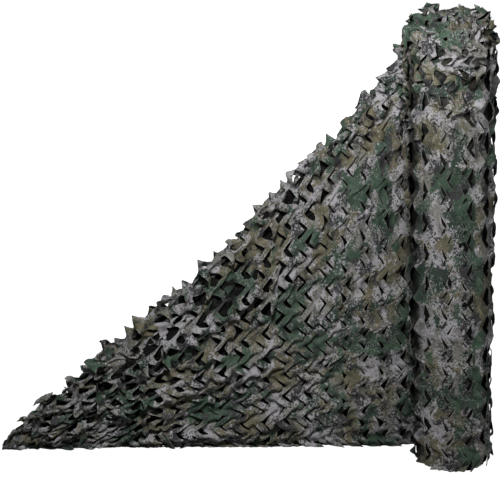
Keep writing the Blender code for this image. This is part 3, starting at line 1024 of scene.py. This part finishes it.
def simulate_netting():
    """All points of the three plies at rest, and the share of the light that each one misses."""
    length, height = flat_layout(0, RIBBONS, ROWS)
    zones = zones_of(length, height / FLAT_WIDTH)
    dice = np.random.default_rng(5)
    aims, spoke = aims_of(zones, length, height, dice)
    points = aims.copy()
    for ply in PLIES:
        for axis in range(3):
            points[ply, ..., axis] += JITTER * soft_noise(dice, length, height, JITTER_SIZE)
    joined = np.stack([joined_lines(parity, RIBBONS, ROWS) for parity in PARITY])
    joined[MIDDLE] = 1.0
    push = np.zeros(points.shape[:-1], np.float32)
    for ply in (FRONT, BACK):
        push[ply] = PUSH * pushes_of(ply, zones, length, height, dice)
    push[FRONT] *= ~zones.on_roll
    push = push[..., None] * outward_of(zones, aims, spoke)
    points += START * push
    push[..., 2] -= WEIGHT * zones.free
    held = 1 - zones.free
    pull = np.where(zones.on_roll, ROLL_PULL - RUFFLED_LESS * zones.ruffled, FREE_PULL + FLAT_MORE * held)
    pull = np.stack([pull[1:, 0]] * len(PLIES)).astype(np.float32)
    laid = (LAID * held * (1 - zones.seam) * ~zones.on_roll).astype(np.float32)[None, ..., None]
    lift = (MOST_LIFT + CROWN_LIFT * zones.ruffled) * (1 - RIGHT_PRESSED * zones.right_side)
    bound = net_bounds(aims, zones.folded, lift)
    steps = STEPS
    taut = (BEND_ROWS // 2,)
    relax(points, aims, joined, (length, height), steps, bound, push, pull, laid, taut)
    for ply in (FRONT, BACK):
        opened = LOOSE_OPENED - FREE_LESS * zones.free[:LOOSE_RIBBONS]
        draw_back(points[ply, :LOOSE_RIBBONS], 0, PARITY[ply], dice, False, opened)
        opened = ROLL_OPENED * (1 - zones.crowned[LOOSE_RIBBONS:])
        draw_back(points[ply, LOOSE_RIBBONS:], LOOSE_RIBBONS, PARITY[ply], dice, True, opened)
    return points, shades_of(points, between(zones.past, *INSIDE) * ~zones.on_roll)


def build_netting(material):
    points, shades = simulate_netting()
    front_ribbons = LOOSE_RIBBONS + TUCKED_RIBBONS
    pieces = (
        # name, solid, ply, first ribbon, ribbons, closed, skip, held
        ("loose_front", "net_loose_end", FRONT, 0, front_ribbons, False, 1, "gathered"),
        ("loose_back", "net_loose_end", BACK, 0, LOOSE_RIBBONS, False, 1, "gathered"),
        # the middle plies are closed sheets painted near black, as the shade that shows through the cuts
        ("loose_middle", "net_loose_end", MIDDLE, 0, LOOSE_RIBBONS, True, 2, "gathered"),
        ("roll_outer", "net_roll", BACK, LOOSE_RIBBONS, TURN_RIBBONS, False, 1, "folded"),
        ("roll_middle", "net_roll", MIDDLE, LOOSE_RIBBONS, TURN_RIBBONS, True, 2, "folded"),
    )
    for name, solid, ply, first, count, closed, skip, held in pieces:
        block, shade = points[ply, first : first + count], shades[ply, first : first + count]
        piece = new_mesh(name, block, first, ply, material, shade, closed, skip)
        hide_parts(solid)
        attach(piece, "root")


# ---------------------------------------------------------------- the patch over the roll's head

HEAD_RIBBONS = 11
HEAD_ROWS = 46
HEAD_REACH = 0.166  # from the middle of the head, over the shoulder, to the patch's edge
HEAD_SIDE = HEAD_RADIUS + 0.003  # the radius at which the patch turns down
HEAD_WIDEST = HEAD_RADIUS + MOST_LIFT - 0.004
HEAD_TOP = 1.522
HEAD_LOWEST, HEAD_HIGHEST = 1.40, 1.538
HEAD_ROUNDED = 0.36  # how much of its corners the square patch loses
HEAD_RAGGED, RAGGED_SIZE = 0.07, 0.06
HEAD_BUMPS, BUMPS_SIZE = 0.010, 0.07
HEAD_FALL = 0.9  # how far the cloth hangs down the side, for each metre that reaches past the shoulder
HEAD_DOME = 0.016  # how much lower the dome's edge is than its middle
HEAD_TILT = 0.010
HEAD_JITTER, HEAD_JITTER_SIZE = 0.004, 0.03
HEAD_BULGE_SPREAD = 0.6
HEAD_LIFT, HEAD_BULGE = 0.55, 0.8  # where 1 is PUSH
HEAD_OUTWARD, HEAD_LESS_UP = 1.2, 0.8  # how far the pushes at its edge point out, and how much less up
HEAD_PULL = 0.05
HEAD_OPENED = 0.12


def build_head(material):
    """The turns' upper edge, folded in over the roll's head: a patch of the netting, crumpled to a dome."""
    length, height = flat_layout(0, HEAD_RIBBONS, HEAD_ROWS)
    dice = np.random.default_rng(8)
    side = (length - length.min()) / (length.max() - length.min()) * 2 - 1
    back = height / height.max() * 2 - 1
    narrowed, shortened = np.sqrt(1 - HEAD_ROUNDED * back**2), np.sqrt(1 - HEAD_ROUNDED * side**2)
    side, back = side * narrowed, back * shortened
    out = np.hypot(side, back)
    bumps = soft_noise(dice, length, height, BUMPS_SIZE)
    reach = HEAD_REACH * out * (1 + HEAD_RAGGED * soft_noise(dice, length, height, RAGGED_SIZE) * out)
    radius = HEAD_SIDE * np.tanh((reach / HEAD_SIDE) ** 3) ** (1 / 3)
    z = HEAD_TOP - HEAD_FALL * np.maximum(reach - radius, 0.0) - HEAD_DOME * out**2
    z = z + HEAD_BUMPS * bumps * (1 - out)
    z = z + HEAD_TILT * side
    x = roll_axis_x(HEAD_TOP) + radius * side / np.maximum(out, 1e-6)
    y = radius * back / np.maximum(out, 1e-6)
    aims = np.stack([x, y, z], -1)[None].astype(np.float32)
    points = aims.copy()
    for axis in range(3):
        points[0, ..., axis] += HEAD_JITTER * soft_noise(dice, length, height, HEAD_JITTER_SIZE)
    joined = joined_lines(0, HEAD_RIBBONS, HEAD_ROWS)[None]
    lifts = tongues(0, HEAD_RIBBONS, HEAD_ROWS) * unevenness(dice, HEAD_RIBBONS, HEAD_ROWS, LEAF_SPREAD)
    swell = np.abs(arms(HEAD_ROWS)) * unevenness(dice, HEAD_RIBBONS, HEAD_ROWS, HEAD_BULGE_SPREAD)
    outward = np.stack([HEAD_OUTWARD * side, HEAD_OUTWARD * back, 1.0 - HEAD_LESS_UP * out], -1)
    chance = soft_noise(dice, length, height, CHANCE_SIZE)
    push = (PUSH * (HEAD_LIFT * lifts + HEAD_BULGE * swell * chance))[..., None] * outward
    push[..., 2] -= WEIGHT
    push = push[None].astype(np.float32)
    pull = np.full((1, HEAD_RIBBONS - 1, HEAD_ROWS + 1), HEAD_PULL, np.float32)
    centre = roll_axis_x(ROLL_HEIGHT)

    def bound(points):
        np.clip(points[..., 2], HEAD_LOWEST, HEAD_HIGHEST, out=points[..., 2])
        dx, dy = points[..., 0] - centre, points[..., 1]
        radius = np.hypot(dx, dy) + 1e-6
        scale = np.minimum(radius, HEAD_WIDEST) / radius
        points[..., 0] = centre + dx * scale
        points[..., 1] = dy * scale

    relax(points, aims, joined, (length, height), HEAD_STEPS, bound, push, pull, 0.0, ())
    draw_back(points[0], 0, 0, dice, False, np.full_like(length, HEAD_OPENED))
    head = new_mesh("roll_head", points[0], 0, MIDDLE, material, np.zeros(points.shape[1:-1]))
    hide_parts("net_roll")
    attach(head, "root")


def main():
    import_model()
    material = net_material()
    build_netting(material)
    build_head(material)
    build_stage()
    build_camera()
    bpy.context.view_layer.update()


main()
